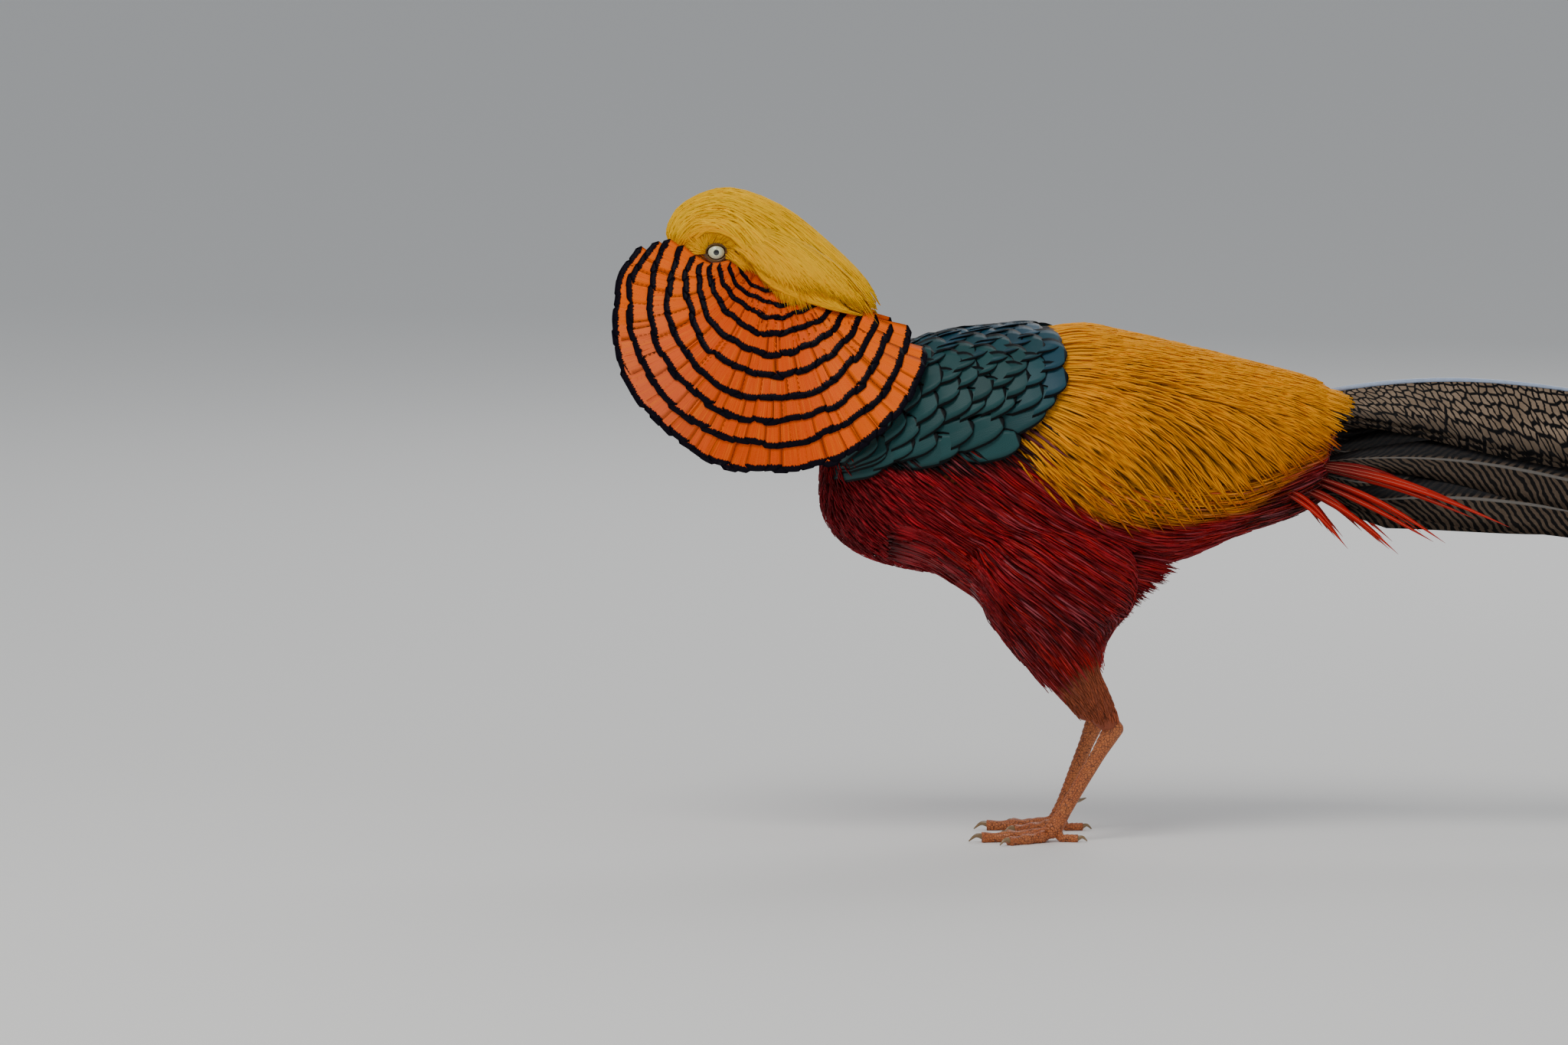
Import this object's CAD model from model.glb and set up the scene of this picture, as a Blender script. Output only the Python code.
import math

import bmesh
import bpy
import numpy as np
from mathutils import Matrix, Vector
from mathutils.bvhtree import BVHTree


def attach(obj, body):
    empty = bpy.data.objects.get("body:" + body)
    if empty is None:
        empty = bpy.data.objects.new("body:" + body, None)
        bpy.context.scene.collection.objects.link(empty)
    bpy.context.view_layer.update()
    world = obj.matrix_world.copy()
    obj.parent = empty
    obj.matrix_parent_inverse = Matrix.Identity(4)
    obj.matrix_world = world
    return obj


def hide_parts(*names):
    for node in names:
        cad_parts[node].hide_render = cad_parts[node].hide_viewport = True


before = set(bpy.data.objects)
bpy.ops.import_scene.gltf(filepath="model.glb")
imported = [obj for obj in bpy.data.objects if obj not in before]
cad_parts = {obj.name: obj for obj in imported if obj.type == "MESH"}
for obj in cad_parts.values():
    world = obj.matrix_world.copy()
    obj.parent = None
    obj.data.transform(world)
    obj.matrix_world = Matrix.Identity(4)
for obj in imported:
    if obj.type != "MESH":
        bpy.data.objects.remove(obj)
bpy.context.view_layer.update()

# The shapes are laid out in millimetres with X = 0 over the ball of the left foot, -X ahead of the bird,
# -Y its left side and the floor at Z = 0. The whole is shifted by SHIFT and turned to metres.
SHIFT = -244.8
LEFT = -1
RIGHT = 1
chance = np.random.default_rng(20261)


def metres(points):
    """Layout millimetres turned to metres in the part's frame."""
    return (np.asarray(points, float) + [SHIFT, 0, 0]) * 0.001


def smooth(x, low, high):
    """0 below low, 1 above high, and a smooth step between."""
    t = np.clip((np.asarray(x, float) - low) / (high - low), 0, 1)
    return t * t * (3 - 2 * t)


def mix(a, b, t):
    return a + (b - a) * t


def unit(v):
    return v / np.maximum(np.linalg.norm(v, axis=-1, keepdims=True), 1e-9)


def profile(*pairs):
    """A smooth curve through (place, value) pairs, level past its ends."""
    xs, ys = (np.array(c, float) for c in zip(*pairs))
    n = len(xs)
    before = np.maximum(np.arange(n) - 1, 0)
    after = np.minimum(np.arange(n) + 1, n - 1)
    slopes = (ys[after] - ys[before]) / (xs[after] - xs[before])

    def at(x):
        x = np.clip(x, xs[0], xs[-1])
        i = np.clip(np.searchsorted(xs, x, side="right") - 1, 0, n - 2)
        w = xs[i + 1] - xs[i]
        t = (x - xs[i]) / w
        rise = 3 * t**2 - 2 * t**3
        bend = slopes[i] * w * (t**3 - 2 * t**2 + t) + slopes[i + 1] * w * (t**3 - t**2)
        return ys[i] * (1 - rise) + ys[i + 1] * rise + bend

    return at


def curve(*points):
    """A smooth line through points, read at 0 to 1."""
    points = np.array(points, float)
    places = np.linspace(0, 1, len(points))
    axes = [profile(*zip(places, points[:, k])) for k in range(3)]
    return lambda t: np.stack([axis(np.asarray(t, float)) for axis in axes], -1)


def angled(degrees):
    """A direction backwards and down by an angle, as seen from the left."""
    a = np.radians(degrees)
    return np.stack([np.cos(a), np.zeros_like(a), -np.sin(a)], -1)


def linear(colour):
    """A colour written as six hex digits, in the renderer's linear values."""
    c = np.array([int(colour[i : i + 2], 16) for i in (0, 2, 4)]) / 255
    return np.where(c <= 0.04045, c / 12.92, ((c + 0.055) / 1.055) ** 2.4)


# Colours of the plumage, linear

YELLOW = np.array([1.0, 0.54, 0.0])
AMBER = np.array([0.92, 0.33, 0.0])
GOLD = np.array([1.0, 0.4, 0.0])
DEEP_GOLD = np.array([0.74, 0.215, 0.0])
GOLD_SHADE = linear("6e3a0a")
PINK = linear("c0606a")
ORANGE = np.array([1.0, 0.14, 0.0])
DEEP_ORANGE = np.array([0.84, 0.085, 0.0])
ROSE = np.array([0.9, 0.2, 0.09])
RUFF_BLACK = linear("0c0714")
TEAL = linear("234b4c")
TEAL_BLUE = linear("1c435c")
TEAL_BLACK = linear("04090c")
CRIMSON = np.array([0.3, 0.005, 0.012])
MAROON = np.array([0.1, 0.002, 0.006])
SCARLET = np.array([0.62, 0.012, 0.006])
RUST = linear("b4622a")
FACE_TAN = linear("b98148")
VENT_BROWN = linear("2c120c")
LEG_BROWN = linear("b05a3a")
WING_RUST = linear("6e2c14")
WING_BLUE = linear("14285a")
WING_BROWN = linear("4a3524")


# Forms of the body, as in the solids. The torso's profiles are read along X, the thigh's along Z and
# those of the neck, head, crest and wing from 0 to 1 along each.

COAT = 3.0  # depth of the coat over the skin
TORSO_START = -140
TORSO_SKIN_END = 164
torso_top = profile(
    (-140, 236), (-130, 254), (-110, 281), (-80, 302), (-40, 309),
    (5, 311), (50, 303), (110, 288), (155, 276), (182, 266),
)
torso_level = profile((-140, 214), (-110, 222), (-70, 232), (0, 239), (80, 238), (182, 240))
torso_bottom = profile(
    (-140, 196), (-130, 180), (-110, 168), (-75, 160), (-30, 155),
    (25, 156), (70, 166), (115, 184), (150, 196), (182, 214),
)
torso_half = profile(
    (-140, 14), (-130, 34), (-110, 47), (-75, 57), (-30, 63),
    (30, 64), (80, 56), (125, 42), (160, 28), (182, 17),
)
neck_line = curve((-183, 0, 343), (-163, 0, 322), (-138, 0, 296), (-112, 0, 270), (-84, 0, 250))
neck_deep = profile((0, 14), (0.25, 23), (0.5, 28), (0.75, 37), (1, 44))
neck_wide = profile((0, 14), (0.25, 24), (0.5, 28), (0.75, 36), (1, 46))
HEAD_START = -222
HEAD_END = -166
head_line = curve((HEAD_START, 0, 354), (HEAD_END, 0, 350))
head_deep = profile((0, 5.2), (0.15, 9.5), (0.4, 15.5), (0.65, 17.5), (0.85, 14.5), (1, 7))
head_wide = profile((0, 4.6), (0.15, 8.4), (0.4, 12.6), (0.65, 15), (0.85, 13), (1, 6))
EYE = np.array([-202, 8.6, 353.5])
EYE_RADIUS = 6.4
crest_ridge = curve(
    (-226, 0, 351), (-231, 0, 365), (-221, 0, 381), (-195, 0, 390),
    (-163, 0, 379), (-135, 0, 357), (-114, 0, 336), (-103, 0, 317),
)
crest_edge = curve(
    (-224, 0, 348), (-217, 0, 357), (-205, 0, 363), (-190, 0, 354),
    (-172, 0, 340), (-150, 0, 329), (-124, 0, 320), (-101, 0, 313),
)
crest_half = profile((0, 5), (0.15, 13), (0.35, 19), (0.6, 24), (0.85, 21), (1, 12))
HOCK_X = {LEFT: 36, RIGHT: 26}
FOOT_X = {LEFT: 0, RIGHT: 4}
HOCK_Z = 68
THIGH_TOP = 200
STANCE = 28
thigh_middle = profile(
    (68, 34), (76, 29), (88, 21), (102, 11), (116, 3.5), (130, 0.5), (145, 2), (175, 0), (200, -2)
)
thigh_half = profile(
    (68, 7), (76, 9.5), (88, 14.5), (102, 19.5), (116, 26), (130, 35), (145, 46), (175, 48), (200, 31)
)
thigh_out = profile((68, 27), (88, 29), (110, 32), (145, 37), (175, 38), (200, 34))
thigh_wide = profile((68, 6.5), (80, 9), (100, 15), (130, 22), (160, 24), (185, 21), (200, 12))
WING_ROOT = np.array([-72.0, 226.0])
WING_TIP = np.array([80.0, 160.0])
WING_IN = 30
wing_half = profile((0, 9), (0.2, 21), (0.5, 24), (0.8, 15), (1, 4))


def torso_reach(x, above):
    """The torso's height over its widest line, or else its depth below it."""
    level = torso_level(x)
    return np.where(above, torso_top(x) - level, level - torso_bottom(x))


def torso_at(x, angle, grow=0.0):
    """A point of the torso at x and the angle in degrees from the top towards the left side."""
    a = np.radians(angle)
    y = -(torso_half(x) + grow) * np.sin(a)
    z = torso_level(x) + (torso_reach(x, np.cos(a) > 0) + grow) * np.cos(a)
    return np.stack(np.broadcast_arrays(x, y, z), -1)


def torso_side(x, z):
    """Half width of the torso at a place seen from the side."""
    rise = z - torso_level(x)
    return torso_half(x) * np.sqrt(np.maximum(1 - (rise / torso_reach(x, rise > 0)) ** 2, 0))


def neck_side(x, z):
    """Half width of the neck at a place seen from the side."""
    steps = np.linspace(0, 1, 41)
    off = np.linalg.norm(np.stack([x, z], -1)[..., None, :] - neck_line(steps)[:, [0, 2]], axis=-1)
    best = off.argmin(-1)
    share = np.take_along_axis(off, best[..., None], -1)[..., 0] / neck_deep(steps[best])
    return neck_wide(steps[best]) * np.sqrt(np.maximum(1 - share**2, 0))


def head_side(x, z):
    """Half width of the head at a place seen from the side."""
    t = np.clip((x - HEAD_START) / (HEAD_END - HEAD_START), 0, 1)
    off = (z - mix(354, 350, t)) / head_deep(t)
    return (t > 0) * (t < 1) * head_wide(t) * np.sqrt(np.maximum(1 - off**2, 0))


def thigh_side(x, z):
    """How far out a thigh stands at a place seen from the side."""
    share = np.minimum(np.abs(x - thigh_middle(z)) / thigh_half(z), 1)
    return (share < 1) * (thigh_out(z) + thigh_wide(z) * np.sqrt(1 - share**2))


def crest_at(u, v, grow=0.0):
    """The crest's arched surface, u from the forehead to its tip and v from the right edge to the left."""
    a = np.clip(v, -1.2, 1.2) * np.pi / 2
    t = np.clip(u, 0, 1)
    p = mix(crest_edge(t), crest_ridge(t), np.cos(a)[..., None])
    p[..., 1] = -(crest_half(t) + grow) * np.sin(a)
    p[..., 2] += grow * np.cos(a)
    return p


def wing_at(u, v, lift=0.0):
    """The folded wing on the left flank, u from the shoulder to the tip and v from the upper edge down."""
    way = unit(WING_TIP - WING_ROOT)
    place = WING_ROOT + np.multiply.outer(u, WING_TIP - WING_ROOT)
    across = (v * wing_half(u))[..., None] * np.array([way[1], -way[0]])
    x, z = np.moveaxis(place + across, -1, 0)
    return np.stack([x, -(np.maximum(torso_side(x, z), WING_IN) + lift), z], -1)


def facing(surface, u, v, step=1e-3):
    """The outward direction of a surface read at u and v."""
    du = surface(u + step, v) - surface(u - step, v)
    dv = surface(u, v + step) - surface(u, v - step)
    return unit(np.cross(dv, du))


def turns(around):
    """The angles of points spaced evenly round a ring."""
    return 2 * np.pi * np.arange(around) / around


def torso_rings(around=48, stations=40):
    rings = []
    for i in range(stations + 1):
        x = mix(TORSO_START, TORSO_SKIN_END, (1 - math.cos(math.pi * i / stations)) / 2)
        ring = torso_at(np.full(around, x), 360 * np.arange(around) / around, -COAT)
        ring[:, 0] -= COAT * (2 * i - stations) / stations
        rings.append(ring)
    return rings


def tube(line, deep, wide, around=32, stations=24, grow=0.0, caps=0.0, scutes=0, relief=0.0, front=0.0):
    """Rings along a line, with a half depth and a half width. Scutes are raised plates, stepped like tiles,
    over the part of the ring round the angle front."""
    rings = []
    a = turns(around)
    for i in range(stations + 1):
        t = i / stations
        along = unit(line(min(t + 0.01, 1)) - line(max(t - 0.01, 0)))
        across = unit(np.array([0, 1, 0]) - along * along[1])
        plate = relief * (t * scutes % 1) * smooth(np.cos(a - front), 0.1, 0.6)
        tall = np.outer((deep(t) + grow + plate) * np.cos(a), np.cross(along, across))
        broad = np.outer((wide(t) + grow + plate) * np.sin(a), across)
        rings.append(line(t) + along * caps * (2 * t - 1) + tall + broad)
    return rings


def crest_rings(grow, reach, around=20, stations=16):
    rings = []
    for i in range(stations + 1):
        ring = crest_at(np.full(around, reach * i / stations), np.linspace(-1, 1, around), grow)
        ring[[0, -1], 2] += 1.5
        rings.append(ring)
    return rings


def thigh_rings(side, around=28, stations=28):
    rings = []
    a = turns(around)
    for z in np.linspace(HOCK_Z - 1, THIGH_TOP, stations + 1):
        shift = (HOCK_X[side] - HOCK_X[LEFT]) * (1 - smooth(z, 68, 190))
        thinner = -COAT * smooth(z, 72, 110)
        x = thigh_middle(z) + shift + (thigh_half(z) + thinner) * np.cos(a)
        y = side * (thigh_out(z) + (thigh_wide(z) + thinner) * np.sin(a))
        rings.append(np.stack([x, y, np.full(around, z)], -1))
    return rings


def wing_rings(side):
    """The flesh of a folded wing, sunk into the flank."""
    v = np.concatenate([np.linspace(-1, 1, 9), np.linspace(1, -1, 9)[1:-1]])
    lift = np.where(np.arange(len(v)) < 9, np.sqrt(np.maximum(1 - v**2, 0)) - 3.5, -9.0)
    flip = np.array([1, -side, 1])
    return [wing_at(np.full(len(v), u), v * 0.9, lift) * flip for u in np.linspace(0.02, 0.8, 18)]


# Meshes


def finished(name, mesh, material, replaces=()):
    """Puts a finished mesh into the scene as a piece of the still body."""
    mesh.name = name
    mesh.materials.clear()
    mesh.materials.append(material)
    piece = bpy.data.objects.new(name, mesh)
    bpy.context.scene.collection.objects.link(piece)
    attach(piece, "root")
    if replaces:
        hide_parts(*replaces)


def lofted(*bodies, looped=False):
    """One bmesh of closed bodies, each given by its rings. Looped ones close on themselves, without caps."""
    bm = bmesh.new()
    for rings in bodies:
        loops = []
        for n, ring in enumerate(rings):
            end = not looped and n in (0, len(rings) - 1)
            made = bmesh.ops.create_circle(bm, cap_ends=end, segments=len(ring), radius=1)
            for vert, point in zip(made["verts"], metres(ring)):
                vert.co = point
            loops.append({e for v in made["verts"] for e in v.link_edges})
        for first, second in zip(loops, loops[1:] + (loops[:1] if looped else [])):
            bmesh.ops.bridge_loops(bm, edges=list(first | second))
    bmesh.ops.recalc_face_normals(bm, faces=bm.faces)
    return bm


def as_mesh(bm):
    mesh = bpy.data.meshes.new("made")
    bm.to_mesh(mesh)
    bm.free()
    mesh.shade_smooth()
    return mesh


def corners(mesh):
    """The mesh's vertices in layout millimetres."""
    co = np.empty(len(mesh.vertices) * 3, np.float32)
    mesh.vertices.foreach_get("co", co)
    return co.reshape(-1, 3) * 1000.0 - [SHIFT, 0, 0]


def paint(mesh, colours):
    """Keeps a colour for each vertex as the attribute tint."""
    layer = mesh.attributes.new("tint", "FLOAT_COLOR", "POINT")
    colours = np.concatenate([colours, np.ones((len(colours), 1))], 1)
    layer.data.foreach_set("color", colours.astype(np.float32).ravel())


# Feathers, as arrays of N feathers with S stations each and K points round each station

# Sections from the right edge over the top to the left edge and back beneath: across and height
HAIR = np.array([(-1, -0.3), (0, 0.7), (1, -0.3)])
BLADE = np.array([
    (-1, 0), (-0.55, 0.4), (0, 0.9), (0.55, 0.4), (1, 0), (0.55, -0.5), (0, -0.5), (-0.55, -0.5),
])
PATCH = 0.003  # size of a feather's patch on the unwrap


def joined(name, batches, material, replaces=()):
    """One closed mesh of many feathers. A batch is (points, tint, vane, patch): for each point its colour,
    its place on the feather and its place on the coat's unwrap."""
    verts, loops, sizes, tints, vanes, patches = [], [], [], [], [], []
    start = 0
    for points, tint, vane, patch in batches:
        n, s, k, _ = points.shape
        index = start + np.arange(n * s * k).reshape(n, s, k)
        near, far = index[:, :-1], index[:, 1:]
        walls = np.stack([near, far, np.roll(far, -1, 2), np.roll(near, -1, 2)], -1)
        loops += [walls.ravel(), index[:, 0].ravel(), index[:, -1, ::-1].ravel()]
        sizes += [np.full(walls.size // 4, 4), np.full(2 * n, k)]
        verts.append(points.reshape(-1, 3))
        tints.append(np.broadcast_to(tint, points.shape).reshape(-1, 3))
        vanes.append(vane.reshape(-1, 3))
        patches.append(patch.reshape(-1, 2))
        start += n * s * k
    verts, loops, sizes = (np.concatenate(a) for a in (verts, loops, sizes))
    mesh = bpy.data.meshes.new(name)
    mesh.vertices.add(len(verts))
    mesh.vertices.foreach_set("co", metres(verts).astype(np.float32).ravel())
    mesh.loops.add(len(loops))
    mesh.loops.foreach_set("vertex_index", loops.astype(np.int32))
    mesh.polygons.add(len(sizes))
    mesh.polygons.foreach_set("loop_start", (np.cumsum(sizes) - sizes).astype(np.int32))
    mesh.update(calc_edges=True)
    paint(mesh, np.concatenate(tints))
    place = mesh.attributes.new("vane", "FLOAT_VECTOR", "POINT")
    place.data.foreach_set("vector", np.concatenate(vanes).astype(np.float32).ravel())
    unwrap = mesh.uv_layers.new(name="OFBake")
    unwrap.data.foreach_set("uv", np.concatenate(patches)[loops].astype(np.float32).ravel())
    mesh.shade_smooth()
    finished(name, mesh, material, replaces)


def dressed(points, section, tint, root_uv):
    """A batch from its points. tint is one colour for each feather, or one for each station of each."""
    n, s, k, _ = points.shape
    along = np.linspace(0, 1, s)[None, :, None]
    across = section[:, 0][None, None, :]
    vane = np.stack(np.broadcast_arrays(across, along, chance.random(n)[:, None, None]), -1)
    tint = tint[:, None, None] if tint.ndim == 2 else tint[:, :, None]
    spot = np.stack(np.broadcast_arrays(along - 0.5, 0.5 * across), -1)
    return points, np.broadcast_to(tint, (n, s, k, 3)), vane, root_uv[:, None, None] + PATCH * spot


def batch(path, up, half, thick, tint, root_uv, section=HAIR, camber=0.0, roll=0.0):
    """Feathers along path, whose flat side turns to up: path and up are (N, S, 3), half is (N, S)."""
    ahead = unit(np.gradient(path, axis=1))
    side = unit(np.cross(up, ahead))
    up = np.cross(ahead, side)
    turn = np.broadcast_to(np.asarray(roll, float), (len(path),))[:, None, None]
    side, up = side * np.cos(turn) + up * np.sin(turn), up * np.cos(turn) - side * np.sin(turn)
    across, height = section.T
    reach = half[..., None] * across
    rise = height * thick - camber * np.abs(reach) * np.abs(across)
    points = path[:, :, None] + side[:, :, None] * reach[..., None] + up[:, :, None] * rise[..., None]
    return dressed(points, section, tint, root_uv)


def rolled(count, most=0.3):
    """A small turn of each feather round its own length."""
    return most * (chance.random(count) - 0.5)


def varied(colours, count, spread=0.12):
    """Each feather's colour a little lighter or darker than its place's."""
    return colours * (1 + spread * chance.standard_normal((count, 1)))


def pointed(s, root=0.6, power=2.6):
    """Widths along a lock that narrows to a point."""
    t = np.linspace(0, 1, s)
    return np.minimum(root + 2 * t, 1) * np.maximum(1 - t**power, 0.06)


def squared(t, root, corner=0.08):
    """Widths along a feather with a square end."""
    shoulder = np.clip((t - 1 + corner) / corner, 0, 1)
    return (root + (1 - root) * np.minimum(t / 0.8, 1)) * np.sqrt(1 - 0.75 * shoulder**2)


def rounded(t, root, turn):
    """Widths along a feather with a round end."""
    shoulder = np.clip((t - 1 + turn) / turn, 0, 1)
    return np.minimum(root + 1.4 * t, 1) * np.sqrt(np.maximum(1 - shoulder**2.2, 0.012))


# The body under the feathers: one closed skin, inside the solids by the depth of the coat


def body_mesh():
    tail_root = curve((148, 0, 242), (160, 0, 242), (171, 0, 243))
    bodies = [
        torso_rings(),
        tube(neck_line, neck_deep, neck_wide, grow=-COAT),
        tube(head_line, head_deep, head_wide, grow=-1.2, caps=-1.2),
        crest_rings(-5.5, 0.55),
        thigh_rings(LEFT),
        thigh_rings(RIGHT),
        tube(tail_root, profile((0, 20), (1, 3)), profile((0, 12), (1, 2))),
        wing_rings(LEFT),
        wing_rings(RIGHT),
    ]
    holder = bpy.data.objects.new("holder", as_mesh(lofted(*bodies)))
    bpy.context.scene.collection.objects.link(holder)
    remesh = holder.modifiers.new("remesh", "REMESH")
    remesh.mode = "VOXEL"
    remesh.voxel_size = 0.0028
    remesh.use_smooth_shade = True
    soften = holder.modifiers.new("soften", "SMOOTH")
    soften.factor = 0.5
    soften.iterations = 6
    shown = holder.evaluated_get(bpy.context.evaluated_depsgraph_get())
    made = bpy.data.meshes.new_from_object(shown)
    bpy.data.objects.remove(holder)
    return made


BODY = body_mesh()
BODY.calc_loop_triangles()
BODY_POINTS = corners(BODY)
BODY_FACES = np.array([list(face.vertices) for face in BODY.loop_triangles])
SURFACE = BVHTree.FromPolygons(BODY_POINTS.tolist(), BODY_FACES.tolist())


def nearest(points):
    """The nearest points of the body's surface, and the outward directions there."""
    found = [SURFACE.find_nearest(p)[:2] for p in points.reshape(-1, 3).tolist()]
    places = np.array([f[0] for f in found]).reshape(points.shape)
    return places, np.array([f[1] for f in found]).reshape(points.shape)


def scattered(count, weight):
    """Roots spread evenly at random over the body, where weight(points) is above 0."""
    a, b, c = (BODY_POINTS[BODY_FACES[:, k]] for k in range(3))
    area = np.linalg.norm(np.cross(b - a, c - a), axis=1) / 2
    steps = np.cumsum(area * weight((a + b + c) / 3))
    places = (np.arange(count) + chance.random(count)) * steps[-1] / count
    tri = np.minimum(np.searchsorted(steps, places), len(a) - 1)
    r, q = np.sqrt(chance.random((count, 1))), chance.random((count, 1))
    return (1 - r) * a[tri] + r * (1 - q) * b[tri] + r * q * c[tri]


def laid(roots, way, length, stations, rest, tip, curl=0.0):
    """Paths of feathers that start at roots and follow the body, with way(points) giving their direction.
    They rise from rest to tip over the skin. Also the outward directions."""
    here, out = nearest(roots)
    path, ups = [], []
    length, rest, tip = (np.broadcast_to(given, (len(roots),)) for given in (length, rest, tip))
    for i in range(stations):
        t = i / (stations - 1)
        height = mix(rest, tip, smooth(t, 0, 0.8)) + curl * length * max(t - 0.6, 0) ** 2
        path.append(here + out * height[:, None])
        ups.append(out)
        if i + 1 < stations:
            ahead = way(here)
            ahead = unit(ahead - out * np.sum(ahead * out, -1, keepdims=True))
            here, turned = nearest(here + ahead * (length / (stations - 1))[:, None])
            out = unit(0.35 * out + 0.65 * turned)
    return np.stack(path, 1), np.stack(ups, 1)


def straight(path, length):
    """Feathers that leave the body along the way they start in, instead of following it round."""
    t = np.linspace(0, 1, path.shape[1])[None, :, None]
    ahead = unit(path[:, 1] - path[:, 0])[:, None]
    return path[:, :1] + ahead * t * np.reshape(length, (-1, 1, 1)) - np.array([0, 0, 2.5]) * t**2


# Where each kind of plumage grows and its colour, from the places seen from the side

gold_edge = profile(
    (-60, 244), (-34, 240), (-22, 236), (-8, 222), (11, 207), (38, 200), (70, 197), (88, 197),
    (104, 203), (123, 214), (135, 221), (152, 230), (170, 243), (215, 250),
)
mantle_edge = profile(
    (-120, 228), (-104, 231), (-82, 233), (-64, 236), (-47, 240), (-25, 242), (-8, 252), (7, 270)
)
RED_SLOPE = 0.545  # rise for each millimetre back of the red's lower edge on the thigh


def in_mantle(p):
    x, z = p[..., 0], p[..., 2]
    back = 8 - 0.02 * np.maximum(266 - z, 0) ** 1.6 - 0.01 * np.maximum(z - 290, 0) ** 2
    return smooth(z - mantle_edge(x), -1, 1) * smooth(back - x, -1, 1) * smooth(x, -112, -108)


def in_gold(p, blur=4):
    x, z = p[..., 0], p[..., 2]
    return smooth(z - gold_edge(x), -blur, blur) * smooth(x, -30, -20)


def gold_tint(p):
    x, z = p[..., 0], p[..., 2]
    return mix(GOLD, DEEP_GOLD, (smooth(x, 40, 190) * smooth(torso_top(x) - z, 5, 40))[..., None])


def body_tint(p):
    """The plumage's colour over the body at places p: red, with each other colour laid over it in turn."""
    x, z = p[..., 0], p[..., 2]
    layers = (
        (CRIMSON, smooth(x, -175, -90) * smooth(z, 140, 190)),
        (SCARLET, 0.55 * smooth(x, -40, 20) * (1 - smooth(np.abs(z - 115), 5, 30))),
        (VENT_BROWN, smooth(x, 60, 100) * (1 - smooth(z - torso_bottom(x), 14, 30))),
        (gold_tint(p) * 0.8, in_gold(p)),
        (TEAL_BLACK, in_mantle(p + [5, 0, 0])),
        (LEG_BROWN, (1 - smooth(z - RED_SLOPE * x, 96, 104)) * (z < 130)),
        (ORANGE * 0.6, smooth(-(x + 118), -4, 8) * smooth(z, 232, 246)),
        (FACE_TAN, smooth(-x - 170, -4, 4) * (1 - smooth(z, 352, 358)) * smooth(z, 320, 330)),
        (YELLOW * 0.7, smooth(z + 0.25 * (x + 190), 352, 358) * smooth(-x - 100, -3, 3)),
    )
    colour = MAROON
    for over, share in layers:
        colour = mix(colour, over, share[..., None])
    return colour


neck_middle = profile((-245, 352), (-183, 350), (-163, 325), (-138, 296), (-112, 262))


def coat_uv(p):
    """The coat's unwrap: along the body, and round its middle line. The thighs have a strip of their own."""
    x, y, z = p[..., 0], p[..., 1], p[..., 2]
    middle = np.where(x < -110, neck_middle(x), torso_level(x))
    round_ = (np.arctan2(y, z - middle) / np.pi + 1) / 2
    along = (x + 245) / 490
    thigh = (z < 155) & (x < 60) & (x > -70)
    leg_round = (np.arctan2(y - np.sign(y) * 34, x - thigh_middle(z)) / np.pi + 1) / 2
    u = np.where(thigh, 0.02 + 0.46 * leg_round + 0.5 * (y > 0), 0.02 + 0.96 * along)
    v = np.where(thigh, 0.02 + 0.2 * (z - 60) / 95, 0.26 + 0.7 * round_)
    return np.stack([np.clip(u, 0.005, 0.99), np.clip(v, 0.005, 0.99)], -1)


# Materials


class Value:
    """An output of a material's nodes, so that sums of them can be written as sums."""

    def __init__(self, tree, socket):
        self.tree = tree
        self.socket = socket

    def maths(self, operation, *others):
        return node(self.tree, "ShaderNodeMath", enumerate((self, *others)), operation=operation)

    def __add__(self, other):
        return self.maths("ADD", other)

    def __sub__(self, other):
        return self.maths("SUBTRACT", other)

    def __mul__(self, other):
        return self.maths("MULTIPLY", other)

    def ramp(self, low, high):
        """0 below low and 1 above high, or the other way round where low is the higher."""
        values = {"Value": self, "From Min": min(low, high), "From Max": max(low, high)}
        values.update({"To Min": float(low > high), "To Max": float(low < high)})
        return node(self.tree, "ShaderNodeMapRange", values, "Result", interpolation_type="SMOOTHSTEP")

    def other(self, name):
        """Another output of the same node."""
        return Value(self.tree, self.socket.node.outputs[name])

    def parts(self):
        """The three parts of a vector."""
        first = node(self.tree, "ShaderNodeSeparateXYZ", {0: self})
        return [first.other(n) for n in range(3)]


def node(tree, kind, values=(), output=0, **settings):
    """Adds a node with its settings and its inputs, each by name or number, and gives one output."""
    made = tree.nodes.new(kind)
    for key, value in settings.items():
        setattr(made, key, value)
    for key, value in dict(values).items():
        socket = made.inputs[key]
        if isinstance(value, Value):
            tree.links.new(value.socket, socket)
        else:
            socket.default_value = (*value, 1) if socket.type == "RGBA" else value
    return Value(tree, made.outputs[output])


def blended(factor, first, second, blend="MIX"):
    """A colour between two, each a Value or linear values."""
    tree = next(value.tree for value in (factor, first) if isinstance(value, Value))
    values = {0: factor, 6: first, 7: second}
    return node(tree, "ShaderNodeMix", values, 2, data_type="RGBA", blend_type=blend)


def noise(place, scale, detail=3.0):
    values = {"Vector": place, "Scale": scale, "Detail": detail}
    return node(place.tree, "ShaderNodeTexNoise", values, "Fac")


def vector(tree, *parts):
    return node(tree, "ShaderNodeCombineXYZ", enumerate(parts))


def attribute(tree, name, output):
    return node(tree, "ShaderNodeAttribute", (), output, attribute_name=name)


def object_place(tree):
    return node(tree, "ShaderNodeTexCoord", (), "Object")


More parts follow.
